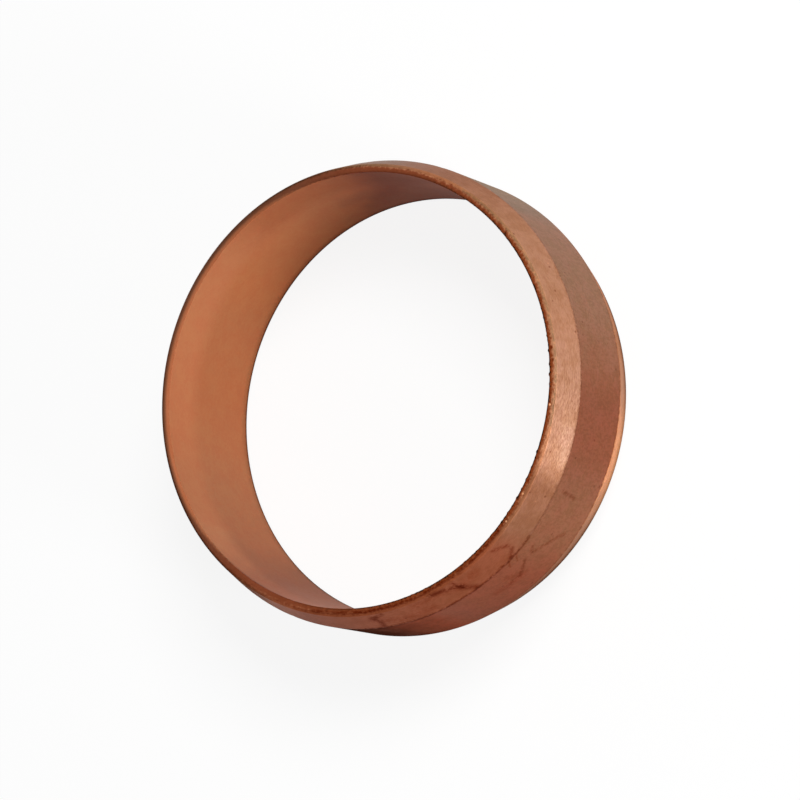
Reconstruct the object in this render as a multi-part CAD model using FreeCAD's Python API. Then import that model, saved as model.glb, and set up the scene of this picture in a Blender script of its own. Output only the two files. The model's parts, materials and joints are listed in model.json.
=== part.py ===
# Compression olive: the copper ring that a nut squeezes on to a tube to seal it in a fitting.
# One turned piece: a plain bore, a cylindrical land and the same cone at either end, so it fits either way round.
# Frame: millimetres, +Z along the bore, origin at the centre of the end that the ring stands on.

import FreeCAD
import Part
import math
import os

# Driving dimensions
TUBE_DIAMETER = 22.0      # outside diameter of the tube that passes through
BORE_CLEARANCE = 0.1      # radial gap that lets the ring slide along the tube by hand
WALL = 0.9                # bore to land
WIDTH = 7.8               # end to end along the bore
LIP = 0.38                # metal left at each end, bore to cone
CONE_HALF_ANGLE = 17.0    # slope of each cone against the bore, in degrees

# Edge roundings
CREST_RADIUS = 0.4        # where a cone meets the land
LIP_RADIUS = 0.16         # outer corner of each end
MOUTH_RADIUS = 0.12       # each mouth of the bore

# Radii and lengths that follow from them
bore_radius = TUBE_DIAMETER / 2 + BORE_CLEARANCE
land_radius = bore_radius + WALL
lip_radius = bore_radius + LIP
cone_length = (WALL - LIP) / math.tan(math.radians(CONE_HALF_ANGLE))

FULL_TURN = 360.0
BORE_AXIS = FreeCAD.Vector(0, 0, 1)


def section_point(radius, height):
    """A point of the ring's section, in the half plane where X is the distance from the bore's axis."""
    return FreeCAD.Vector(radius, 0, height)


def rounded_corner(before, corner, after, radius):
    """The arc that rounds a corner, tangent to both its sides."""
    to_before = (before - corner).normalize()
    to_after = (after - corner).normalize()
    half_opening = to_before.getAngle(to_after) / 2
    tangent_length = radius / math.tan(half_opening)
    to_centre = (to_before + to_after).normalize()
    middle_distance = radius / math.sin(half_opening) - radius
    return Part.Arc(
        corner + to_before * tangent_length,
        corner + to_centre * middle_distance,
        corner + to_after * tangent_length,
    )


def rounded_outline(corners):
    """A closed wire through the corners, each given as its point and the radius that rounds it."""
    points = [point for point, _ in corners]
    arcs = [
        rounded_corner(points[i - 1], point, points[(i + 1) % len(points)], radius)
        for i, (point, radius) in enumerate(corners)
    ]
    edges = []
    for i, arc in enumerate(arcs):
        edges.append(Part.LineSegment(arcs[i - 1].EndPoint, arc.StartPoint).toShape())
        edges.append(arc.toShape())
    return Part.Wire(edges)


def olive_section():
    """The section of the ring on one side of its axis: the lower half's corners, and their mirror image above."""
    lower_half = [
        (bore_radius, 0, MOUTH_RADIUS),
        (lip_radius, 0, LIP_RADIUS),
        (land_radius, cone_length, CREST_RADIUS),
    ]
    upper_half = [(radius, WIDTH - height, rounding) for radius, height, rounding in reversed(lower_half)]
    corners = [(section_point(r, z), rounding) for r, z, rounding in lower_half + upper_half]
    return Part.Face(rounded_outline(corners))


def olive():
    """The whole ring, its section turned about the bore's axis."""
    return olive_section().revolve(section_point(0, 0), BORE_AXIS, FULL_TURN)


os.makedirs("parts", exist_ok=True)
olive().exportStep("parts/olive.step")
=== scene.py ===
"""Dresses a compression olive: one turned copper ring with a worn, tarnished skin and painted shade,
highlights and reflections, on a plain pale floor.

The ring's surface is one function of two parameters, the angle round the bore and the run along the section.
Lengths are millimetres and angles are degrees, as on a drawing, and change units where Blender takes them.
"""

import json
import logging
import math
from dataclasses import dataclass
from enum import Enum
from typing import Any, Dict, List, Tuple, Union

import bpy
import numpy as np
from mathutils import Matrix, Vector


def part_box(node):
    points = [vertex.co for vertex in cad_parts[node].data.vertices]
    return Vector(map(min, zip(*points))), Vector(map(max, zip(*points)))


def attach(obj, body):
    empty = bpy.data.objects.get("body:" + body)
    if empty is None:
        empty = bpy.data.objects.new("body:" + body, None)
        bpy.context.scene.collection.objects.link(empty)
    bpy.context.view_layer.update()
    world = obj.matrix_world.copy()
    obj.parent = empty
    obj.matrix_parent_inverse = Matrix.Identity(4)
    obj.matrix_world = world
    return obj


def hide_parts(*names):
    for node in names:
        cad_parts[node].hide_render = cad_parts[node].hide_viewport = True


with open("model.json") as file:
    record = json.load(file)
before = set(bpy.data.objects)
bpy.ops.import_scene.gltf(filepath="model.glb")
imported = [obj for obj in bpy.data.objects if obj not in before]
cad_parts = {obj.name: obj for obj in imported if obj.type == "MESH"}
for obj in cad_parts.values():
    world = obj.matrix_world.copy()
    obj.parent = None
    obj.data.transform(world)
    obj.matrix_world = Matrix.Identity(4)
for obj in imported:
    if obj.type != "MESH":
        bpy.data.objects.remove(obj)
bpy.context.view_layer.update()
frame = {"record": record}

Colour = Tuple[float, float, float]
Pair = Tuple[float, float]
Counts = Tuple[int, int]
Socket = bpy.types.NodeSocket
Number = Union[float, "Signal"]

MM = 0.001
FULL_TURN = 2 * math.pi
UV_NAME = "section"
log = logging.getLogger("olive")


class Signal:
    """A number that varies over a surface: one output socket, whose arithmetic adds Math nodes."""

    def __init__(self, board: "ShaderBoard", socket: Socket) -> None:
        """Wraps a socket of the board's node tree."""
        self.board = board
        self.socket = socket

    def math(self, operation: str, *others: Number) -> "Signal":
        """Adds a Math node whose first operand is this signal, and gives its result."""
        return self.board.math(operation, self, *others)

    def __add__(self, other: Number) -> "Signal":
        """self + other."""
        return self.math("ADD", other)

    def __radd__(self, other: Number) -> "Signal":
        """other + self."""
        return self.board.math("ADD", other, self)

    def __sub__(self, other: Number) -> "Signal":
        """self - other."""
        return self.math("SUBTRACT", other)

    def __rsub__(self, other: Number) -> "Signal":
        """other - self."""
        return self.board.math("SUBTRACT", other, self)

    def __mul__(self, other: Number) -> "Signal":
        """self * other."""
        return self.math("MULTIPLY", other)

    def __rmul__(self, other: Number) -> "Signal":
        """other * self."""
        return self.board.math("MULTIPLY", other, self)

    def __truediv__(self, other: Number) -> "Signal":
        """self / other."""
        return self.math("DIVIDE", other)

    def __abs__(self) -> "Signal":
        """The signal without its sign."""
        return self.math("ABSOLUTE")

    def at_most(self, other: Number) -> "Signal":
        """The smaller of the two."""
        return self.math("MINIMUM", other)

    def at_least(self, other: Number) -> "Signal":
        """The larger of the two."""
        return self.math("MAXIMUM", other)

    def rise(self, low: float, high: float) -> "Signal":
        """A smooth step up.

        Args:
            low: the value up to which the step is 0.
            high: the value from which it is 1.

        Returns:
            The step.
        """
        settings = {"interpolation_type": "SMOOTHSTEP", "clamp": True}
        node = self.board.add(
            "ShaderNodeMapRange", settings, {"Value": self, "From Min": low, "From Max": high}
        )
        return Signal(self.board, node.outputs["Result"])

    def fall(self, low: float, high: float) -> "Signal":
        """A smooth step down: 1 below low, 0 above high."""
        return 1 - self.rise(low, high)

    def bell(self, middle: float, reach: float) -> "Signal":
        """A smooth bump: 1 at middle, 0 a reach away on either side."""
        return abs(self - middle).fall(0.0, reach)

    def sway(self, amount: float) -> "Signal":
        """Noise about a half, made noise about zero and multiplied by an amount."""
        return (self - 0.5) * amount


@dataclass(frozen=True)
class Specks:
    """One kind of scattered round specks, in millimetres.

    The share is how many of the places for a speck have one. A speck is solid over the solid share of its
    radius, and fades from there to its edge.
    """

    spacing: float
    share: float
    radius: float
    colour: Colour
    solid_share: float = 0.3
    share_blur: float = 0.01


class ShaderBoard:
    """The node tree of one material, with the few calls that a finish is written in."""

    def __init__(self, tree: bpy.types.NodeTree) -> None:
        """Empties the tree."""
        self.tree = tree
        self.tree.nodes.clear()

    def add(self, kind: str, settings: Dict[str, Any], sockets: Dict[Any, Any]) -> bpy.types.Node:
        """Adds any node.

        Args:
            kind: the node's type.
            settings: its properties, set before its sockets.
            sockets: a value, a Signal or another node's output socket for each named or numbered input.

        Returns:
            The new node.
        """
        node = self.tree.nodes.new(kind)
        for name, value in settings.items():
            setattr(node, name, value)
        for name, value in sockets.items():
            source = value.socket if isinstance(value, Signal) else value
            if isinstance(source, Socket):
                self.tree.links.new(source, node.inputs[name])
            else:
                node.inputs[name].default_value = source
        return node

    def math(self, operation: str, *operands: Number) -> Signal:
        """Adds a Math node on numbers and signals, and gives its result."""
        node = self.add("ShaderNodeMath", {"operation": operation}, dict(enumerate(operands)))
        return Signal(self, node.outputs[0])

    def mix(self, factor: Number, first: Any, second: Any, blend: str = "MIX") -> Socket:
        """Mixes two colours.

        Args:
            factor: 0 gives the first colour, 1 the blend of the two.
            first: a colour, or a socket that carries one.
            second: a colour, or a socket that carries one.
            blend: the Mix node's blend type.

        Returns:
            The mixed colour's socket.
        """
        settings = {"data_type": "RGBA", "blend_type": blend, "clamp_factor": True}
        colours = [c if isinstance(c, Socket) else (*c, 1.0) for c in (first, second)]
        node = self.add("ShaderNodeMix", settings, {0: factor, 6: colours[0], 7: colours[1]})
        return node.outputs[2]

    def tint(self, factor: Number, colour: Socket, film: Any) -> Socket:
        """The colour seen through a film, which multiplies it where the factor is 1."""
        return self.mix(factor, colour, film, "MULTIPLY")

    def parts(self, vector: Socket) -> List[Signal]:
        """The three numbers of a vector."""
        node = self.add("ShaderNodeSeparateXYZ", {}, {0: vector})
        return [Signal(self, output) for output in node.outputs]

    def joined(self, x: Number, y: Number, z: Number) -> Socket:
        """A vector of three numbers."""
        return self.add("ShaderNodeCombineXYZ", {}, {0: x, 1: y, 2: z}).outputs[0]

    def vector(self, operation: str, first: Any, second: Any, output: str = "Vector") -> Socket:
        """Adds a Vector Math node on two vectors, and gives one of its outputs."""
        sockets = {0: first, 1: second}
        return self.add("ShaderNodeVectorMath", {"operation": operation}, sockets).outputs[output]

    def leg(self, place: Socket, start: Pair, end: Pair) -> Signal:
        """The distance from a straight leg of a line in the plane.

        It is measured to the foot of the perpendicular, held between the leg's ends.

        Args:
            place: the position, whose third number is 0.
            start: where the leg starts.
            end: where it ends.

        Returns:
            The distance.
        """
        reach = np.array([end[0] - start[0], end[1] - start[1], 0.0])
        offset = self.vector("SUBTRACT", place, (*start, 0.0))
        share = Signal(self, self.vector("DOT_PRODUCT", offset, tuple(reach / (reach @ reach)), "Value"))
        share = share.at_least(0.0).at_most(1.0)
        foot = self.vector("MULTIPLY", tuple(reach), self.joined(share, share, 0.0))
        return Signal(self, self.vector("DISTANCE", offset, foot, "Value"))

    def noise(self, place: Socket, grain: float, detail: float = 2.0, rough: float = 0.5) -> Signal:
        """Cloudy noise about a mean of a half.

        Args:
            place: the position that it reads, in millimetres.
            grain: the size of one cloud, in millimetres.
            detail: how many finer layers are added.
            rough: how strong the finer layers are.

        Returns:
            The noise, mostly between 0.2 and 0.8.
        """
        sockets = {"Vector": place, "Scale": 1 / grain, "Detail": detail, "Roughness": rough}
        return Signal(self, self.add("ShaderNodeTexNoise", {}, sockets).outputs["Fac"])

    def specks(self, place: Socket, kind: Specks) -> Signal:
        """Scattered round specks.

        Args:
            place: the position that they are scattered over, in millimetres.
            kind: their spacing, share and radius.

        Returns:
            1 in the middle of a speck and 0 outside.
        """
        cells = self.add("ShaderNodeTexVoronoi", {}, {"Vector": place, "Scale": 1 / kind.spacing})
        chance = self.parts(cells.outputs["Color"])[0]
        distance = Signal(self, cells.outputs["Distance"])
        solid = kind.solid_share * kind.radius / kind.spacing
        spot = distance.fall(solid, kind.radius / kind.spacing)
        return spot * chance.fall(kind.share - kind.share_blur, kind.share)


class Zone(Enum):
    """The stretches of the section that were made in different ways, in their order along the run."""

    BORE = "the drawn tube's inside"
    LIP = "the cut end and its rounded edges"
    CONE = "the turned cone"
    LAND = "the drawn tube's outside"


@dataclass(frozen=True)
class Stretch:
    """Rows of one line or arc of the section, without its last point, and the zone that it belongs to."""

    zone: Zone
    points: np.ndarray


@dataclass
class OliveSection:
    """The ring's section: a bore, a lip at each end, a cone at each end and a land between the cones.

    The radii of the bore and the land and the width come from the frame. The rest repeats the drawing.
    """

    bore_radius: float
    land_radius: float
    width: float
    lip: float = 0.38
    cone_half_angle: float = 17.0
    crest_rounding: float = 0.4
    lip_rounding: float = 0.16
    mouth_rounding: float = 0.12
    bore_rows: int = 6
    mouth_rows: int = 5
    face_rows: int = 3
    rim_rows: int = 5
    cone_rows: int = 11
    crest_rows: int = 4
    land_rows: int = 5

    @property
    def lip_radius(self) -> float:
        """The outer radius of the cut face at each end."""
        return self.bore_radius + self.lip

    @property
    def cone_length(self) -> float:
        """A cone's length along the bore."""
        return (self.land_radius - self.lip_radius) / math.tan(math.radians(self.cone_half_angle))

    @staticmethod
    def line(start: np.ndarray, end: np.ndarray, rows: int) -> np.ndarray:
        """Points along a line, closer together towards both ends, without the last."""
        # The share along the line is half of one less the cosine of even steps through a half turn.
        share = (1 - np.cos(np.pi * np.arange(rows) / rows)) / 2
        return start + np.outer(share, end - start)

    @staticmethod
    def arc(
        before: np.ndarray, corner: np.ndarray, after: np.ndarray, radius: float, rows: int
    ) -> np.ndarray:
        """Points of the arc that rounds a corner, both ends among them.

        The arc's centre lies on the corner's bisector, and its points turn evenly between the tangent points.

        Args:
            before: the corner before this one.
            corner: the corner that is rounded.
            after: the corner after it.
            radius: the arc's radius.
            rows: how many steps the arc has.

        Returns:
            An array of points, one more than the steps.
        """
        back = (before - corner) / np.linalg.norm(before - corner)
        ahead = (after - corner) / np.linalg.norm(after - corner)
        half = math.acos(float(back @ ahead)) / 2
        bisector = (back + ahead) / np.linalg.norm(back + ahead)
        centre = corner + bisector * radius / math.sin(half)
        first = corner + back * radius / math.tan(half) - centre
        last = corner + ahead * radius / math.tan(half) - centre
        turn = math.pi - 2 * half
        share = np.linspace(0, 1, rows + 1)[:, None]
        return centre + (np.sin((1 - share) * turn) * first + np.sin(share * turn) * last) / math.sin(turn)

    def upper_half(self) -> List[Stretch]:
        """The upper half of the section: straight lines, with an arc of its own radius at each corner.

        Returns:
            The stretches from the middle of the bore, over the upper end, to the middle of the land.
        """
        middle = self.width / 2
        bore_middle = np.array([self.bore_radius, middle])
        mouth = np.array([self.bore_radius, self.width])
        rim = np.array([self.lip_radius, self.width])
        crest = np.array([self.land_radius, self.width - self.cone_length])
        land_middle = np.array([self.land_radius, middle])
        mouth_arc = self.arc(bore_middle, mouth, rim, self.mouth_rounding, self.mouth_rows)
        rim_arc = self.arc(mouth, rim, crest, self.lip_rounding, self.rim_rows)
        crest_arc = self.arc(rim, crest, land_middle, self.crest_rounding, self.crest_rows)
        return [
            Stretch(Zone.BORE, self.line(bore_middle, mouth_arc[0], self.bore_rows)),
            Stretch(Zone.LIP, mouth_arc[:-1]),
            Stretch(Zone.LIP, self.line(mouth_arc[-1], rim_arc[0], self.face_rows)),
            Stretch(Zone.LIP, rim_arc[:-1]),
            Stretch(Zone.CONE, self.line(rim_arc[-1], crest_arc[0], self.cone_rows)),
            Stretch(Zone.CONE, crest_arc[:-1]),
            Stretch(Zone.LAND, self.line(crest_arc[-1], land_middle, self.land_rows)),
        ]

    def outline(self) -> np.ndarray:
        """The closed section: the upper half, then its mirror image below.

        Returns:
            Rows of radius and height.
        """
        upper = np.concatenate([stretch.points for stretch in self.upper_half()])
        land_middle = np.array([[self.land_radius, self.width / 2]])
        lower = np.concatenate([upper[1:], land_middle])[::-1] * [1, -1] + [0, self.width]
        return np.concatenate([upper, lower])

    def run(self) -> np.ndarray:
        """The length along the outline, added up from row to row.

        Returns:
            The length at each row, and the whole length last.
        """
        outline = self.outline()
        steps = np.linalg.norm(np.roll(outline, -1, axis=0) - outline, axis=1)
        return np.concatenate([[0.0], np.cumsum(steps)])

    def zone_ends(self) -> Dict[Zone, Pair]:
        """The places of the zones along the upper half.

        Returns:
            Where each zone starts and ends along the run.
        """
        run = self.run()
        ends: Dict[Zone, Pair] = {}
        row = 0
        for stretch in self.upper_half():
            start = ends[stretch.zone][0] if stretch.zone in ends else float(run[row])
            row += len(stretch.points)
            ends[stretch.zone] = (start, float(run[row]))
        return ends


@dataclass(frozen=True)
class Burr:
    """The ragged edge that cutting off left round each mouth of the bore, standing into the hole."""

    height: float = 0.070
    reach: float = 0.09
    teeth_round: Counts = (90, 300)
    patches_round: Counts = (4, 30)
    waves: int = 12
    mean_patch: float = 0.5
    thinnest_patch: float = 0.1
    worst_azimuth: float = -92.0
    focus: int = 8
    least_share: float = 0.12
    lower_share: float = 0.3
    snags: Tuple[float, ...] = (-93.0,)
    snag_height: float = 0.05
    snag_half_angle: float = 0.35

    def radius_change(
        self, azimuth: np.ndarray, outline: np.ndarray, section: OliveSection, draw: np.random.Generator
    ) -> np.ndarray:
        """How far the burr stands into the hole, for each angle and row.

        Round the ring it is a sum of cosines with random phases, cut off below zero, times patches of the
        same kind, and a bell for each snag. Away from the worst azimuth it falls to its least share, by a
        power of half of one plus the cosine of the turn. Along the section it fades with the square of the
        distance from the mouth's corner.

        Args:
            azimuth: the angles round the ring, in radians.
            outline: the section's rows of radius and height.
            section: the section's sizes.
            draw: the source of random numbers.

        Returns:
            The changes of radius, angles by rows.
        """
        teeth = self.waves_round(azimuth, self.teeth_round, draw)
        patches = self.waves_round(azimuth, self.patches_round, draw)
        facing = (1 + np.cos(azimuth - math.radians(self.worst_azimuth))) / 2
        strength = self.least_share + (1 - self.least_share) * facing ** self.focus
        patched = np.clip(self.mean_patch + patches, self.thinnest_patch, 1)
        ragged = self.height * np.clip(teeth, 0, 1) * patched * strength
        turn = np.angle(np.exp(1j * np.subtract.outer(azimuth, np.radians(self.snags))))
        bells = np.exp(-((turn / math.radians(self.snag_half_angle)) ** 2))
        ragged += self.snag_height * bells.sum(axis=1)
        fade = np.zeros(len(outline))
        low = section.mouth_rounding
        for height, share in ((low, self.lower_share), (section.width - low, 1.0)):
            distance = np.linalg.norm(outline - [section.bore_radius, height], axis=1)
            fade += share * np.exp(-((distance / self.reach) ** 2))
        return -np.outer(ragged, fade)

    def waves_round(self, azimuth: np.ndarray, limits: Counts, draw: np.random.Generator) -> np.ndarray:
        """A sum of cosines round the ring, with random counts and phases.

        Args:
            azimuth: the angles round the ring, in radians.
            limits: the fewest crests that one cosine may have, and one more than the most.
            draw: the source of random numbers.

        Returns:
            The sum at each angle, about zero and with a spread of a half.
        """
        counts = draw.integers(*limits, self.waves)
        phases = draw.uniform(0, FULL_TURN, self.waves)
        return np.cos(np.outer(azimuth, counts) + phases).sum(axis=1) / math.sqrt(2 * self.waves)


@dataclass(frozen=True)
class Nick:
    """A small dent where the ring was knocked, by the angle and height of its middle."""

    azimuth: float
    height: float
    reach: float
    depth: float

    def radius_change(self, azimuth: np.ndarray, outline: np.ndarray) -> np.ndarray:
        """The dent on the outside of the ring, which fades with the square of the distance from its middle.

        Args:
            azimuth: the angles round the ring, in radians.
            outline: the section's rows of radius and height.

        Returns:
            The changes of radius, angles by rows.
        """
        turn = np.angle(np.exp(1j * (azimuth - math.radians(self.azimuth))))
        outside = outline[:, 0] > outline[:, 0].mean()
        along = (outline[:, 1] - self.height) / self.reach
        around = np.outer(turn, outline[:, 0]) / self.reach
        return -self.depth * outside * np.exp(-(around ** 2 + along ** 2))


@dataclass(frozen=True)
class Skin:
    """How one zone of the copper looks before its blemishes: two tones, its gloss and its tool marks."""

    tone: Colour
    other_tone: Colour
    roughness: float
    line_depth: float


SKINS: Dict[Zone, Skin] = {
    Zone.BORE: Skin((0.57, 0.232, 0.104), (0.56, 0.206, 0.094), roughness=0.40, line_depth=0.001),
    Zone.LIP: Skin((0.495, 0.243, 0.128), (0.462, 0.215, 0.107), roughness=0.90, line_depth=0.004),
    Zone.CONE: Skin((0.52, 0.246, 0.150), (0.49, 0.240, 0.136), roughness=0.36, line_depth=0.007),
    Zone.LAND: Skin((0.320, 0.107, 0.056), (0.300, 0.111, 0.053), roughness=0.42, line_depth=0.001),
}


class Half(Enum):
    """Which end of the ring a blemish lies towards."""

    UPPER = "the end that stands up"
    LOWER = "the end that it stands on"
    BOTH = "both ends"


@dataclass(frozen=True)
class Film:
    """A broad film on part of one zone, which multiplies its colour: tarnish, painted shade, a painted
    highlight or a painted reflection.

    It spreads from its middle by the half angle each way, and fades over the softness at its end of falling
    and of rising azimuth. Its middle leans by the slant, in degrees to a millimetre of height, and its cover
    is the share of the metal's shine that it hides.
    """

    zone: Zone
    half: Half
    azimuth: float
    half_angle: float
    softness: Pair
    colour: Colour
    slant: float = 0.0
    cover: float = 0.0


FILMS: Tuple[Film, ...] = (
    # Painted shade with tarnish: the bore's top is darker and purple-grey, leaning with height.
    Film(Zone.BORE, Half.BOTH, 0.0, 18.0, (20.0, 20.0), (0.56, 0.50, 0.66), slant=-1.8),
    Film(Zone.BORE, Half.UPPER, 32.0, 16.0, (16.0, 16.0), (0.84, 0.76, 0.70)),
    Film(Zone.BORE, Half.LOWER, 2.0, 5.0, (18.0, 13.0), (1.26, 1.42, 1.48), slant=-5.0),
    Film(Zone.BORE, Half.LOWER, 60.0, 8.0, (14.0, 14.0), (1.08, 1.06, 1.00)),
    Film(Zone.BORE, Half.BOTH, 142.0, 10.0, (24.0, 24.0), (0.91, 0.97, 1.02)),
    Film(Zone.BORE, Half.LOWER, 85.0, 12.0, (30.0, 30.0), (0.99, 0.92, 0.85)),
    # Tarnish with painted shade: the bore's bottom is darker.
    Film(Zone.BORE, Half.BOTH, 176.0, 10.0, (23.0, 23.0), (0.70, 0.64, 0.63)),
    Film(Zone.BORE, Half.UPPER, 152.0, 6.0, (12.0, 12.0), (1.03, 1.12, 1.16)),
    # Painted shade: the lower bore is a little darker round here.
    Film(Zone.BORE, Half.LOWER, 158.0, 6.0, (26.0, 22.0), (0.92, 0.89, 0.89)),
    # Painted shade: the bore is darker towards the lower end, round most of the ring.
    Film(Zone.BORE, Half.LOWER, 125.0, 40.0, (70.0, 70.0), (0.88, 0.93, 0.95)),
    # Painted shade: the top of the upper cone is darker and browner.
    Film(Zone.CONE, Half.UPPER, 6.0, 8.0, (40.0, 60.0), (0.71, 0.60, 0.46)),
    Film(Zone.CONE, Half.UPPER, 22.0, 8.0, (20.0, 60.0), (0.74, 0.92, 1.02)),
    # Painted shade: the upper cone is dark and dull round this azimuth.
    Film(Zone.CONE, Half.UPPER, 148.0, 12.0, (46.0, 16.0), (0.58, 0.47, 0.40), cover=0.8),
    # Painted shade: the upper cone is darker beyond the highlight's end.
    Film(Zone.CONE, Half.UPPER, -136.5, 33.5, (40.0, 7.5), (0.62, 0.55, 0.51), slant=0.7),
    Film(Zone.CONE, Half.UPPER, -148.0, 26.0, (40.0, 11.0), (0.97, 0.68, 0.59)),
    # Painted highlight beside the cone's highlight.
    Film(Zone.CONE, Half.UPPER, -82.0, 8.0, (12.0, 14.0), (1.03, 1.08, 1.13)),
    Film(Zone.CONE, Half.UPPER, -40.0, 10.0, (14.0, 16.0), (0.93, 0.94, 0.91)),
    # Painted reflection: the land is paler and greyer here.
    Film(Zone.LAND, Half.BOTH, -28.0, 18.0, (36.0, 70.0), (1.10, 1.66, 1.96)),
    Film(Zone.LAND, Half.BOTH, 10.0, 14.0, (24.0, 70.0), (0.90, 1.03, 1.10), cover=0.8),
    Film(Zone.LAND, Half.BOTH, -88.0, 8.0, (12.0, 12.0), (0.93, 0.89, 0.93)),
    Film(Zone.LAND, Half.BOTH, -106.5, 6.0, (13.0, 13.0), (1.04, 1.24, 1.28)),
    Film(Zone.LAND, Half.BOTH, -145.0, 14.0, (30.0, 30.0), (0.98, 0.76, 0.66)),
    Film(Zone.LAND, Half.BOTH, -18.0, 4.0, (8.0, 14.0), (0.76, 0.88, 0.92)),
    Film(Zone.LAND, Half.BOTH, -152.5, 3.5, (6.0, 8.0), (0.80, 0.62, 0.52), cover=0.5),
    # Painted shade: the land is nearly black and dull round this azimuth.
    Film(Zone.LAND, Half.BOTH, -169.0, 4.0, (44.0, 20.0), (0.18, 0.14, 0.13), cover=0.95),
    # Painted shade: the lower cone is darker and dull away from its highlight.
    Film(Zone.CONE, Half.LOWER, -48.0, 10.0, (24.0, 24.0), (0.66, 0.56, 0.44), cover=0.6),
    Film(Zone.CONE, Half.LOWER, -90.0, 26.0, (20.0, 20.0), (1.00, 0.97, 0.82)),
    # Painted highlight: the bright strip on the lower cone.
    Film(Zone.CONE, Half.LOWER, -90.0, 3.0, (18.0, 18.0), (1.75, 1.80, 1.56)),
    # Painted shade: the lower cone is dark and dull past its highlight.
    Film(Zone.CONE, Half.LOWER, -140.0, 12.0, (70.0, 34.0), (0.42, 0.29, 0.19), cover=0.5),
)


@dataclass(frozen=True)
class CutEdge:
    """The dark edges that parting off left.

    At each end the edge is on the mouth at one side of the ring, and on the rim at the other. Round one
    azimuth the dark is narrower, and the upper rim is paler and greyer. At the rimward side the mouth's
    rounding gets painted shade. The lower mouth is dark all round, and so is the lower rim, with a dark cut
    edge and painted shade where the ring stands on the floor.
    A band is a middle and a reach: the rounding shade's is from the lip's start, and the others are from its
    end.
    Sines are those of the azimuths between which a film changes, and a side is where along y a film fades.
    """

    core: Colour = (0.040, 0.014, 0.007)
    core_reach: float = 0.09
    core_solid_share: float = 0.2
    burred_film: Colour = (0.52, 0.248, 0.125)
    burred_sines: Pair = (-0.90, 0.35)
    mouth_film: Colour = (0.50, 0.29, 0.235)
    mouth_place: float = 0.10
    rim_film: Colour = (0.30, 0.30, 0.34)
    rim_sines: Pair = (0.15, 0.85)
    rim_place: float = 0.06
    rim_drift: float = 0.09
    face_film: Colour = (1.06, 0.84, 0.74)
    rounding_painted_shade: Colour = (0.79, 0.78, 0.77)
    rounding_shade_band: Pair = (0.07, 0.14)
    solid_reach: float = 0.13
    fade: float = 0.255
    fade_change: float = 0.07
    fade_drift: float = 0.04
    torn_grain: float = 0.17
    raggedness: float = 0.42
    rust_band: Pair = (-0.26, 0.16)
    rust_side: Pair = (-10.8, -8.6)
    pale_rim_azimuth: float = 7.0
    pale_rim_half_angle: float = 28.0
    pale_rim_change: float = 0.055
    pale_rim_band: Pair = (-0.08, 0.18)
    pale_rim_film: Colour = (1.16, 1.28, 1.72)
    lower_mouth_film: Colour = (0.50, 0.40, 0.36)
    lower_mouth_reach: float = 0.16
    lower_rim_edge_and_shade_film: Colour = (0.30, 0.26, 0.22)
    lower_rim_reach: float = 1.15
    lower_cover: float = 0.7


@dataclass(frozen=True)
class Stroke:
    """A dried dribble, a line of dirt, a painted highlight or a line of painted shade: a broken line on the
    unrolled outside.

    Each point is an azimuth and a depth along the section below the upper rim, less than zero on the lip. The
    width is from the line to its faint edge, and the cover is the share of the metal's shine that it hides.
    """

    points: Tuple[Pair, ...]
    width: float
    colour: Colour
    cover: float = 0.6


DRIBBLE: Colour = (0.47, 0.29, 0.23)
SMEAR: Colour = (0.62, 0.48, 0.42)
SMUDGE: Colour = (0.82, 0.68, 0.60)
DIRT: Colour = (0.48, 0.31, 0.22)
RUST: Colour = (0.50, 0.20, 0.08)
# Painted shade over the upper rim's rounding, where the key lamp's highlight falls.
RIM_PAINTED_SHADE: Colour = (0.68, 0.80, 0.86)
# Painted highlight on the upper cone.
PAINTED_HIGHLIGHT: Colour = (1.24, 1.38, 1.48)
STROKES: Tuple[Stroke, ...] = (
    Stroke(((-120.4, 0.30), (-117.8, 0.79), (-117.6, 1.21), (-120.0, 1.66)), 0.24, DRIBBLE),
    Stroke(((-139.8, 0.14), (-136.8, 0.24), (-133.2, 0.80), (-130.9, 1.48)), 0.32, DRIBBLE),
    Stroke(((-146.0, 0.35), (-139.0, 0.30), (-133.4, 0.75), (-128.0, 0.55)), 0.55, SMUDGE, 0.2),
    Stroke(((-158.0, 0.60), (-152.0, 1.20), (-143.0, 1.10)), 0.60, SMUDGE, 0.2),
    Stroke(((-133.8, 0.10), (-133.6, 0.54), (-132.9, 0.87)), 0.24, DRIBBLE),
    Stroke(((-155.0, 0.17), (-158.2, 0.50), (-157.2, 0.90), (-157.5, 1.40)), 0.30, DRIBBLE),
    Stroke(((-113.4, 1.74), (-121.6, 1.79), (-123.0, 1.66), (-165.0, 1.64)), 0.22, DIRT),
    Stroke(((-112.0, -0.23), (-174.0, -0.23)), 0.13, RUST, 0.3),
    Stroke(((-16.0, -0.09), (-86.0, -0.09)), 0.17, RIM_PAINTED_SHADE, 0.0),
    Stroke(((-85.5, 1.10), (-89.0, 1.25), (-93.0, 1.30)), 0.80, PAINTED_HIGHLIGHT, 0.0),
    Stroke(((-118.6, 1.82), (-120.3, 2.50)), 0.11, SMEAR),
    Stroke(((-121.0, 1.80), (-122.8, 2.40)), 0.11, SMEAR),
    Stroke(((-110.6, 4.80), (-111.8, 4.30), (-117.4, 3.05), (-115.8, 2.70)), 0.25, SMEAR, 0.4),
    Stroke(((-119.8, 3.10), (-124.3, 3.95), (-128.0, 3.90)), 0.25, SMEAR, 0.4),
    Stroke(((-126.0, 3.20), (-124.0, 4.10), (-131.0, 3.80)), 0.60, SMUDGE, 0.2),
    Stroke(((-100.3, 2.40), (-101.2, 3.80)), 0.20, SMEAR, 0.3),
)

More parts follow.
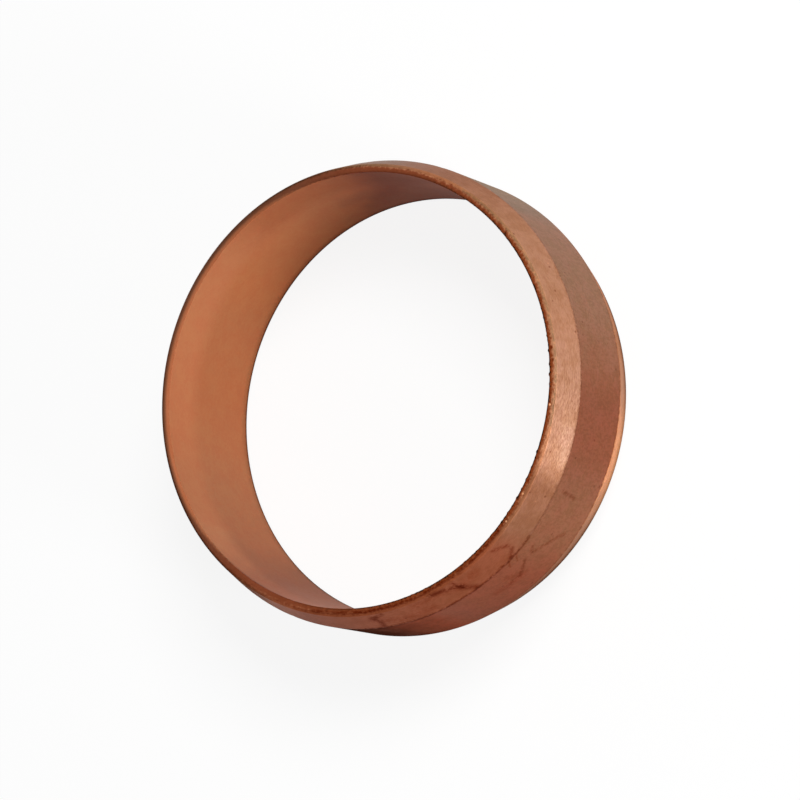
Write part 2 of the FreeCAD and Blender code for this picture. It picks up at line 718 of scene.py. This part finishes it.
BROWN_SPECKS = Specks(spacing=0.55, share=0.34, radius=0.09, colour=(0.52, 0.38, 0.33))
PALE_SPECKS = Specks(spacing=0.50, share=0.10, radius=0.07, colour=(1.30, 1.25, 1.25))
RUST_FLAKES = Specks(spacing=0.26, share=0.40, radius=0.12, colour=(0.66, 0.40, 0.22))
BRIGHT_CHIPS = Specks(spacing=0.40, share=0.52, radius=0.09, colour=(0.80, 0.47, 0.26))
DARK_FLECK: Colour = (0.74, 0.66, 0.62)
BRIGHT_FLECK: Colour = (1.18, 1.20, 1.22)
DULL_GRAIN: Colour = (0.80, 0.74, 0.70)
CONE_MOTTLE: Colour = (0.92, 0.86, 0.82)
CREST_LINE: Colour = (0.74, 0.63, 0.56)


@dataclass
class Olive:
    """The copper ring itself: its surface, its wear and its finish."""

    section: OliveSection
    columns: int = 1260
    seed: int = 22
    burr: Burr = Burr()
    plain_nick_azimuth: float = -47.3
    small_nicks: int = 14
    rim_nicks: int = 40

    def nicks(self, draw: np.random.Generator) -> List[Nick]:
        """The knocks along the upper crest and rim.

        Args:
            draw: the source of random numbers.

        Returns:
            The one that shows plainly, then small ones at random on the crest and on the rim.
        """
        crest = self.section.width - self.section.cone_length
        rim = self.section.width - self.section.lip_rounding
        plain = Nick(self.plain_nick_azimuth, crest, reach=0.12, depth=0.035)
        small = [Nick(a, crest, reach=0.10, depth=0.012) for a in draw.uniform(-180, 180, self.small_nicks)]
        chips = [Nick(a, rim, reach=0.06, depth=0.025) for a in draw.uniform(-180, 180, self.rim_nicks)]
        return [plain] + small + chips

    def build(self) -> bpy.types.Object:
        """Makes the mesh: a point for each angle and row, at its radius and height, and a face between four.

        Returns:
            The ring's object, at the origin.
        """
        draw = np.random.default_rng(self.seed)
        outline = self.section.outline()
        rows = len(outline)
        azimuth = np.arange(self.columns) * FULL_TURN / self.columns
        radius = outline[:, 0] + self.burr.radius_change(azimuth, outline, self.section, draw)
        for nick in self.nicks(draw):
            radius = radius + nick.radius_change(azimuth, outline)
        height = np.broadcast_to(outline[:, 1], radius.shape)
        points = [radius * np.cos(azimuth)[:, None], radius * np.sin(azimuth)[:, None], height]
        column, row = np.meshgrid(np.arange(self.columns), np.arange(rows), indexing="ij")
        next_column = (column + 1) % self.columns
        next_row = (row + 1) % rows
        corners = [
            column * rows + row,
            column * rows + next_row,
            next_column * rows + next_row,
            next_column * rows + row,
        ]
        share = self.section.run() / self.section.run()[-1]
        around = np.stack([column, column, column + 1, column + 1], axis=-1) / self.columns
        along = np.stack([share[row], share[row + 1], share[row + 1], share[row]], axis=-1)
        mesh = self.grid_mesh(np.stack(points, axis=-1) * MM, np.stack(corners, axis=-1))
        uv = mesh.uv_layers.new(name=UV_NAME)
        uv.data.foreach_set("uv", np.stack([around, along], axis=-1).astype(np.float32).ravel())
        ring = bpy.data.objects.new("copper_ring", mesh)
        bpy.context.scene.collection.objects.link(ring)
        return ring

    @staticmethod
    def grid_mesh(points: np.ndarray, corners: np.ndarray) -> bpy.types.Mesh:
        """A smooth mesh of quads.

        Args:
            points: the vertices, in metres, in any grid whose last axis is the coordinates.
            corners: each face's four vertices, with the last axis going round the face.

        Returns:
            The mesh.
        """
        faces = corners.size // 4
        mesh = bpy.data.meshes.new("copper_ring")
        mesh.vertices.add(points.size // 3)
        mesh.vertices.foreach_set("co", points.astype(np.float32).ravel())
        mesh.loops.add(corners.size)
        mesh.loops.foreach_set("vertex_index", corners.astype(np.int32).ravel())
        mesh.polygons.add(faces)
        mesh.polygons.foreach_set("loop_start", np.arange(0, corners.size, 4, dtype=np.int32))
        mesh.polygons.foreach_set("use_smooth", np.ones(faces, dtype=bool))
        mesh.update(calc_edges=True)
        return mesh

    def dress(self, ring: bpy.types.Object) -> None:
        """Gives the ring its worn copper, with its painted shade and highlights."""
        ring.data.materials.append(WornCopperAndPaintedLight(self.section).material())


class WornCopperAndPaintedLight:
    """The ring's finish: drawn tube in the bore and on the land, turned cones, cut ends, tarnish and dirt,
    and painted shade, highlights and reflections.

    It is laid up in layers. Each one multiplies the colour, and may hide some of the metal's shine. A level
    is where a noise starts to count and where it counts fully, and a side is where along y a mark fades.
    """

    edge_tint: Colour = (0.69, 0.61, 0.60)
    cut_edge: CutEdge = CutEdge()
    seam_azimuth: float = 90.0
    cloud_grain: float = 1.9
    mottle_grain: float = 0.75
    fine_grain: float = 0.16
    drawn_grain: float = 0.13
    drawing: float = 0.40
    drawn_depth: float = 0.003
    hairline_share: float = 0.45
    fine_wear: float = 0.10
    broad_wear: float = 0.08
    blur: float = 0.04
    tone_level: Pair = (0.38, 0.62)
    film_raggedness: float = 0.7
    film_overlap: float = 0.2
    stroke_sway: float = 0.30
    fine_stroke_sway: float = 0.16
    broad_stroke_sway: float = 0.20
    stroke_level: Pair = (0.28, 0.56)
    brown_strength: float = 0.85
    fleck_overlap: float = 0.24
    raked_azimuth: float = -86.0
    raked_spread: Pair = (5.0, 22.0)
    unraked_share: float = 0.4
    dark_fleck_level: Pair = (0.46, 0.64)
    bright_fleck_level: Pair = (0.32, 0.46)
    dull_level: Pair = (0.42, 0.60)
    dull_strength: float = 0.8
    mottle_level: Pair = (0.42, 0.64)
    crest_level: Pair = (0.3, 0.6)
    crest_reach: float = 0.15
    chip_depth: float = -0.24
    chip_spread: Pair = (0.06, 0.14)
    chip_side: Pair = (-11.0, -9.6)
    rim_roughness: float = 0.78
    dull_rim_band: Pair = (-0.02, 0.13)
    fine_gloss_change: float = 0.10
    broad_gloss_change: float = 0.08

    def __init__(self, section: OliveSection) -> None:
        """Starts the material and the signals that every layer reads.

        Args:
            section: the sizes of the ring's section.
        """
        self.ends = section.zone_ends()
        self.middle = section.width / 2
        self.radius = section.land_radius
        self.made = bpy.data.materials.new("worn_copper_and_painted_light")
        self.made.use_nodes = True
        board = self.board = ShaderBoard(self.made.node_tree)
        metres = board.add("ShaderNodeTexCoord", {}, {}).outputs["Object"]
        scaled = board.add("ShaderNodeVectorMath", {"operation": "SCALE"}, {0: metres, "Scale": 1 / MM})
        self.place = scaled.outputs["Vector"]
        self.x, self.y, self.z = board.parts(self.place)
        self.azimuth = self.x.math("ARCTAN2", self.y * -1) * math.degrees(1) - self.seam_azimuth
        uv = board.add("ShaderNodeUVMap", {"uv_map": UV_NAME}, {}).outputs["UV"]
        length = float(section.run()[-1])
        self.run = board.parts(uv)[1] * length
        self.fold = self.run.at_most(length - self.run)
        self.depth = self.fold - self.ends[Zone.LIP][1]
        upper = self.z.rise(section.width - 2 * section.cone_length, section.width - section.cone_length)
        self.halves: Dict[Half, Number] = {Half.UPPER: upper, Half.LOWER: 1 - upper, Half.BOTH: 1.0}
        self.cloud = board.noise(self.place, self.cloud_grain, detail=3.0, rough=0.55)
        self.mottle = board.noise(self.place, self.mottle_grain, detail=3.0, rough=0.6)
        self.grain = board.noise(self.place, self.fine_grain, rough=0.6)
        self.wear = self.grain.sway(self.fine_wear) + self.mottle.sway(self.broad_wear)
        self.hairlines = self.streaks(grain=0.030, length=0.5)
        self.lines = self.streaks(grain=0.080, length=1.0)
        self.flecks = self.streaks(grain=0.045, length=0.22)
        along = board.joined(self.x, self.y, self.z * self.drawing)
        self.drawn = board.noise(along, self.drawn_grain, rough=0.6)
        self.inside = self.zone_masks()
        self.colour: Any = SKINS[Zone.BORE].tone
        self.metal: Number = 1.0

    def past(self, place: float) -> Signal:
        """0 before a place along the run of either half and 1 after it, with a ragged edge."""
        return (self.fold + self.wear).rise(place - self.blur, place + self.blur)

    def zone_masks(self) -> Dict[Zone, Signal]:
        """1 in each zone of either half and 0 elsewhere."""
        lip, cone, land = (self.past(self.ends[zone][0]) for zone in (Zone.LIP, Zone.CONE, Zone.LAND))
        return {Zone.BORE: 1 - lip, Zone.LIP: lip * (1 - cone), Zone.CONE: cone * (1 - land), Zone.LAND: land}

    def streaks(self, grain: float, length: float) -> Signal:
        """Noise drawn out round the ring, as a turning tool leaves it.

        Args:
            grain: the width of a streak along the section.
            length: its length round the ring.

        Returns:
            The noise.
        """
        squeeze = grain / length
        place = self.board.joined(self.x * squeeze, self.y * squeeze, self.run)
        return self.board.noise(place, grain, rough=0.6)

    def lay(self, mask: Signal, film: Any, cover: float = 0.0) -> None:
        """Lays one film over what is there.

        Args:
            mask: where it lies.
            film: the colour that it multiplies by, or a socket that carries one.
            cover: the share of the metal's shine that it hides.
        """
        self.colour = self.board.tint(mask, self.colour, film)
        if cover:
            self.metal = (1 - mask * cover) * self.metal

    def bare(self) -> Tuple[Signal, Signal]:
        """Starts the colour with that of the bare zones.

        Returns:
            The zones' roughness and the depth of their tool marks, in millimetres.
        """
        other = (self.mottle * 0.5 + self.cloud * 0.2 + self.grain * 0.3).rise(*self.tone_level)
        roughness: Number = 0.0
        line_depth: Number = 0.0
        for zone, skin in SKINS.items():
            tone = self.board.mix(other, skin.tone, skin.other_tone)
            self.colour = self.board.mix(self.past(self.ends[zone][0]), self.colour, tone)
            roughness = self.inside[zone] * skin.roughness + roughness
            line_depth = self.inside[zone] * skin.line_depth + line_depth
        return roughness, line_depth

    def films(self) -> None:
        """Lays the broad films of tarnish, painted shade and painted highlights; those of the cones reach a
        little way over the rim.
        """
        over_rim = self.past(self.ends[Zone.CONE][0] - self.film_overlap) * (1 - self.inside[Zone.LAND])
        reach = {**self.inside, Zone.CONE: over_rim}
        for film in FILMS:
            lean = (self.z - self.middle) * film.slant
            turn = (self.azimuth - film.azimuth - lean).math("WRAP", 180.0, -180.0)
            falling = (turn * -1 - film.half_angle) / film.softness[0]
            rising = (turn - film.half_angle) / film.softness[1]
            ragged = falling.at_least(rising) + self.cloud.sway(self.film_raggedness)
            spread = ragged.fall(0.0, 1.0) * reach[film.zone] * self.halves[film.half]
            self.lay(spread, film.colour, film.cover)

    def edges(self) -> None:
        """Lays the dark edge of each end, which lies on the mouth and goes over to the rim at one side, and
        painted shade on the mouth's rounding at that side.
        """
        edge = self.cut_edge
        start, end = self.ends[Zone.LIP]
        sine = (self.azimuth * math.radians(1)).math("SINE")
        cosine = (self.azimuth * math.radians(1)).math("COSINE")
        rimward = sine.rise(*edge.rim_sines)
        burred = sine.fall(*edge.burred_sines)
        mouth = start + edge.mouth_place
        torn = self.board.noise(self.place, edge.torn_grain, detail=3.0, rough=0.6).sway(edge.raggedness)
        across = end - mouth - edge.rim_place - cosine * edge.rim_drift
        offset = abs(self.fold - mouth - rimward * across) + self.wear + torn * (1 - rimward)
        pale_rim = self.azimuth.bell(edge.pale_rim_azimuth, edge.pale_rim_half_angle)
        drift = sine * edge.fade_change - cosine * edge.fade_drift - pale_rim * edge.pale_rim_change
        share = (offset - edge.solid_reach) / (drift + edge.fade)
        self.lay(self.inside[Zone.LIP] * rimward, edge.face_film)
        # Painted shade on the mouth's rounding at the rimward side, where the key lamp's highlight falls.
        self.lay((self.fold - start).bell(*edge.rounding_shade_band) * rimward, edge.rounding_painted_shade)
        mouth_film = self.board.mix(burred, edge.mouth_film, edge.burred_film)
        self.lay(share.fall(0.0, 1.0), self.board.mix(rimward, mouth_film, edge.rim_film))
        core = offset.fall(edge.core_solid_share * edge.core_reach, edge.core_reach) * burred
        self.colour = self.board.mix(core, self.colour, edge.core)
        flakes = self.board.specks(self.place, RUST_FLAKES) * self.depth.bell(*edge.rust_band)
        self.lay(flakes * self.y.fall(*edge.rust_side), RUST_FLAKES.colour)
        self.lay(self.depth.bell(*edge.pale_rim_band) * pale_rim * self.halves[Half.UPPER], edge.pale_rim_film)

    def lower_edges(self) -> None:
        """Lays the darker mouth of the end that the ring stands on, and its rim's dark cut edge with painted
        shade where it meets the floor.
        """
        edge = self.cut_edge
        lower = self.halves[Half.LOWER]
        mouth = abs(self.fold - self.ends[Zone.LIP][0] + self.wear).fall(0.0, edge.lower_mouth_reach)
        self.lay(mouth * lower, edge.lower_mouth_film)
        # The rim's dark cut edge, with painted shade where the ring stands on the floor.
        rim = abs(self.depth + self.wear).fall(0.0, edge.lower_rim_reach)
        self.lay(rim * lower, edge.lower_rim_edge_and_shade_film, edge.lower_cover)

    def strokes(self) -> None:
        """Lays the dribbles, the lines of dirt, the painted highlight and the line of painted shade, each
        wobbling and worn thin in places.
        """
        board = self.board
        per_degree = math.radians(1) * self.radius
        around = self.azimuth * per_degree + self.mottle.sway(self.stroke_sway)
        below_rim = self.run - self.ends[Zone.LIP][1]
        wobble = self.grain.sway(self.fine_stroke_sway) + self.cloud.sway(self.broad_stroke_sway)
        place = board.joined(around, below_rim + wobble, 0.0)
        worn = (self.mottle * 0.4 + self.grain * 0.6).rise(*self.stroke_level)
        for stroke in STROKES:
            points = [(azimuth * per_degree, depth) for azimuth, depth in stroke.points]
            distance: Number = math.inf
            for leg in zip(points, points[1:]):
                distance = board.leg(place, *leg).at_most(distance)
            self.lay(distance.fall(0.0, stroke.width) * worn, stroke.colour, stroke.cover)

    def specks(self) -> None:
        """Lays the specks and flecks, the dull grain of the land, the crests' lines and the lip's chips."""
        board = self.board
        cone = self.inside[Zone.CONE]
        land = self.inside[Zone.LAND]
        brown = board.specks(self.place, BROWN_SPECKS) * (cone + land) * self.brown_strength
        self.lay(brown, BROWN_SPECKS.colour)
        self.lay(board.specks(self.place, PALE_SPECKS) * cone, PALE_SPECKS.colour)
        turned = self.past(self.ends[Zone.CONE][0] - self.fleck_overlap) * (1 - land)
        lit = abs(self.azimuth - self.raked_azimuth).fall(*self.raked_spread)
        raked = turned * (lit * (1 - self.unraked_share) + self.unraked_share)
        self.lay(raked * self.flecks.rise(*self.dark_fleck_level), DARK_FLECK)
        self.lay(raked * self.flecks.fall(*self.bright_fleck_level), BRIGHT_FLECK)
        dull = self.drawn * 0.4 + self.grain * 0.35 + self.mottle * 0.25
        self.lay(land * dull.rise(*self.dull_level) * self.dull_strength, DULL_GRAIN)
        self.lay(cone * self.mottle.rise(*self.mottle_level), CONE_MOTTLE)
        crest = abs(self.fold + self.wear - self.ends[Zone.LAND][0]).fall(0.0, self.crest_reach)
        self.lay(crest * self.grain.rise(*self.crest_level), CREST_LINE)
        row = abs(self.depth - self.chip_depth).fall(*self.chip_spread) * self.y.fall(*self.chip_side)
        chips = board.specks(self.place, BRIGHT_CHIPS) * row
        self.colour = board.mix(chips, self.colour, BRIGHT_CHIPS.colour)

    def material(self) -> bpy.types.Material:
        """Lays the finish up, from the bare zones outwards.

        Returns:
            The finished material.
        """
        board = self.board
        roughness, line_depth = self.bare()
        self.films()
        self.edges()
        self.lower_edges()
        self.strokes()
        self.specks()
        turned = (self.hairlines * self.hairline_share + self.lines) * line_depth
        height = self.drawn * self.inside[Zone.LAND] * self.drawn_depth + turned
        bump = board.add("ShaderNodeBump", {}, {"Strength": 1.0, "Distance": MM, "Height": height})
        dull_rim = self.depth.bell(*self.dull_rim_band) * self.rim_roughness
        gloss_change = self.grain.sway(self.fine_gloss_change) + self.cloud.sway(self.broad_gloss_change)
        sockets = {
            "Base Color": self.colour,
            "Metallic": self.metal,
            "Roughness": dull_rim.at_least(roughness + gloss_change),
            "Specular Tint": (*self.edge_tint, 1.0),
            "Specular IOR Level": 0.0,
            "Normal": bump.outputs["Normal"],
        }
        shader = board.add("ShaderNodeBsdfPrincipled", {}, sockets)
        board.add("ShaderNodeOutputMaterial", {}, {"Surface": shader.outputs[0]})
        return self.made


@dataclass(frozen=True)
class SoftBox:
    """A square lamp that faces the ring, placed by its direction from there."""

    name: str
    azimuth: float
    elevation: float
    distance: float
    side: float
    brightness: float

    def make(self, target: Vector) -> bpy.types.Object:
        """Adds the lamp, with the power that gives a white surface facing it the stated brightness.

        Args:
            target: where the lamp is aimed, in metres.

        Returns:
            The lamp's object.
        """
        a = math.radians(self.azimuth)
        e = math.radians(self.elevation)
        direction = Vector((math.cos(a) * math.cos(e), math.sin(a) * math.cos(e), math.sin(e)))
        data = bpy.data.lights.new(self.name, "AREA")
        data.shape = "SQUARE"
        data.size = self.side * MM
        data.energy = self.brightness * (math.pi * self.distance * MM) ** 2
        lamp = bpy.data.objects.new(self.name, data)
        lamp.location = target + direction * self.distance * MM
        lamp.rotation_mode = "QUATERNION"
        lamp.rotation_quaternion = direction.to_track_quat("Z", "Y")
        bpy.context.scene.collection.objects.link(lamp)
        return lamp


@dataclass
class Studio:
    """The plain pale floor, the soft lamps and the pale surroundings."""

    target: Vector
    floor_half: float = 1500.0
    floor_tone: float = 0.85
    world_fill: float = 0.22
    seen_share: float = 0.88
    mirrored_share: float = 0.20
    lamps: Tuple[SoftBox, ...] = (
        SoftBox("key", azimuth=-30.0, elevation=50.0, distance=300.0, side=130.0, brightness=1.05),
        SoftBox("side", azimuth=-96.0, elevation=12.0, distance=260.0, side=60.0, brightness=0.88),
    )

    @staticmethod
    def rays(board: ShaderBoard, seen_share: float, mirrored_share: float) -> Signal:
        """Tells apart the rays that look at a surface.

        Args:
            board: the node tree that asks.
            seen_share: the share for rays from the camera.
            mirrored_share: the share for rays from gloss or through glass.

        Returns:
            The larger share that applies, and 0 for any other ray.
        """
        path = board.add("ShaderNodeLightPath", {}, {})
        seen, glossy, through = (
            Signal(board, path.outputs[name])
            for name in ("Is Camera Ray", "Is Glossy Ray", "Is Transmission Ray")
        )
        return (seen * seen_share).at_least(glossy.at_least(through) * mirrored_share)

    def floor(self) -> bpy.types.Object:
        """Makes the floor: partly white of itself where it is seen or mirrored, and lit, so a shadow stays.

        Returns:
            The floor's object.
        """
        corners = np.array([[-1, -1, 0], [1, -1, 0], [1, 1, 0], [-1, 1, 0]]) * self.floor_half * MM
        mesh = bpy.data.meshes.new("floor")
        mesh.from_pydata(corners.tolist(), [], [(0, 1, 2, 3)])
        floor = bpy.data.objects.new("floor", mesh)
        bpy.context.scene.collection.objects.link(floor)
        material = bpy.data.materials.new("pale_floor")
        material.use_nodes = True
        board = ShaderBoard(material.node_tree)
        lit = board.add("ShaderNodeBsdfDiffuse", {}, {"Color": (*[self.floor_tone] * 3, 1.0)})
        white = board.add("ShaderNodeEmission", {}, {"Strength": 1.0})
        share = self.rays(board, self.seen_share, self.mirrored_share)
        both = board.add("ShaderNodeMixShader", {}, {0: share, 1: lit.outputs[0], 2: white.outputs[0]})
        board.add("ShaderNodeOutputMaterial", {}, {"Surface": both.outputs[0]})
        mesh.materials.append(material)
        return floor

    def surroundings(self) -> None:
        """The world: white where it is seen or mirrored, and a soft fill of light otherwise."""
        world = bpy.data.worlds.new("pale_room")
        world.use_nodes = True
        bpy.context.scene.world = world
        board = ShaderBoard(world.node_tree)
        strength = self.world_fill + self.rays(board, 1.0, 1.0) * (1 - self.world_fill)
        background = board.add("ShaderNodeBackground", {}, {"Strength": strength})
        board.add("ShaderNodeOutputWorld", {}, {"Surface": background.outputs[0]})

    def build(self) -> bpy.types.Object:
        """Makes the lamps, the world and the floor.

        Returns:
            The floor's object.
        """
        for lamp in self.lamps:
            lamp.make(self.target)
        self.surroundings()
        return self.floor()


@dataclass
class PhotoCamera:
    """The photograph's camera: where it stands, how it is rolled and where the ring lies in the picture."""

    target: Vector
    land_radius: float
    axis_tilt: float = 30.89
    axis_heading: float = 195.345
    distance_in_radii: float = 16.39
    pixels_per_radius: float = 234.29
    picture_side: float = 800.0
    ring_pixel: Pair = (391.31, 398.98)
    sensor: float = 36.0
    clip_ratio: float = 100.0

    def build(self) -> bpy.types.Object:
        """Adds the camera and makes it the scene's own.

        The bore's axis leans away from the line of sight by the tilt, and points along the heading in the
        picture.

        Returns:
            The camera's object.
        """
        tilt = math.radians(self.axis_tilt)
        heading = math.radians(self.axis_heading)
        back = Vector((0, -math.sin(tilt), math.cos(tilt)))
        axis = Vector((0, math.cos(tilt), math.sin(tilt)))
        across = Vector((-1, 0, 0))
        right = axis * math.cos(heading) + across * math.sin(heading)
        up = across * math.cos(heading) - axis * math.sin(heading)
        centre = self.picture_side / 2
        aside = right * (centre - self.ring_pixel[0]) + up * (self.ring_pixel[1] - centre)
        distance = self.distance_in_radii * self.land_radius
        data = bpy.data.cameras.new("camera")
        data.sensor_width = self.sensor
        data.lens = self.sensor * self.pixels_per_radius * self.distance_in_radii / self.picture_side
        data.clip_start = distance * MM / self.clip_ratio
        data.clip_end = distance * MM * self.clip_ratio
        camera = bpy.data.objects.new("camera", data)
        pixel = self.land_radius / self.pixels_per_radius
        place = self.target + (back * distance + aside * pixel) * MM
        turn = Matrix((right, up, back)).transposed()
        camera.matrix_world = Matrix.Translation(place) @ turn.to_4x4()
        bpy.context.scene.collection.objects.link(camera)
        bpy.context.scene.camera = camera
        return camera


def mount_radius(name: str) -> float:
    """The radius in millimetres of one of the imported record's mounts."""
    found = next(mount for mount in frame["record"]["mounts"] if mount["name"] == name)
    return float(found["dims"]["r_mm"])


def main() -> None:
    """Builds the ring, the studio and the camera."""
    logging.basicConfig(level=logging.INFO, format="%(name)s: %(message)s")
    low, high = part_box("olive")
    section = OliveSection(
        bore_radius=mount_radius("tube_bore"),
        land_radius=min(-low.x, -low.y, high.x, high.y) / MM,
        width=(high.z - low.z) / MM,
    )
    olive = Olive(section)
    ring = olive.build()
    olive.dress(ring)
    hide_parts("olive")
    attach(ring, "root")
    log.info("%s: %d faces", ring.name, len(ring.data.polygons))
    target = Vector((0, 0, section.width / 2 * MM))
    floor = Studio(target).build()
    log.info("%s and lamps in place", floor.name)
    camera = PhotoCamera(target, section.land_radius).build()
    log.info("%s in place", camera.name)
    bpy.context.scene.view_settings.view_transform = "Standard"


if __name__ == "__main__":
    main()
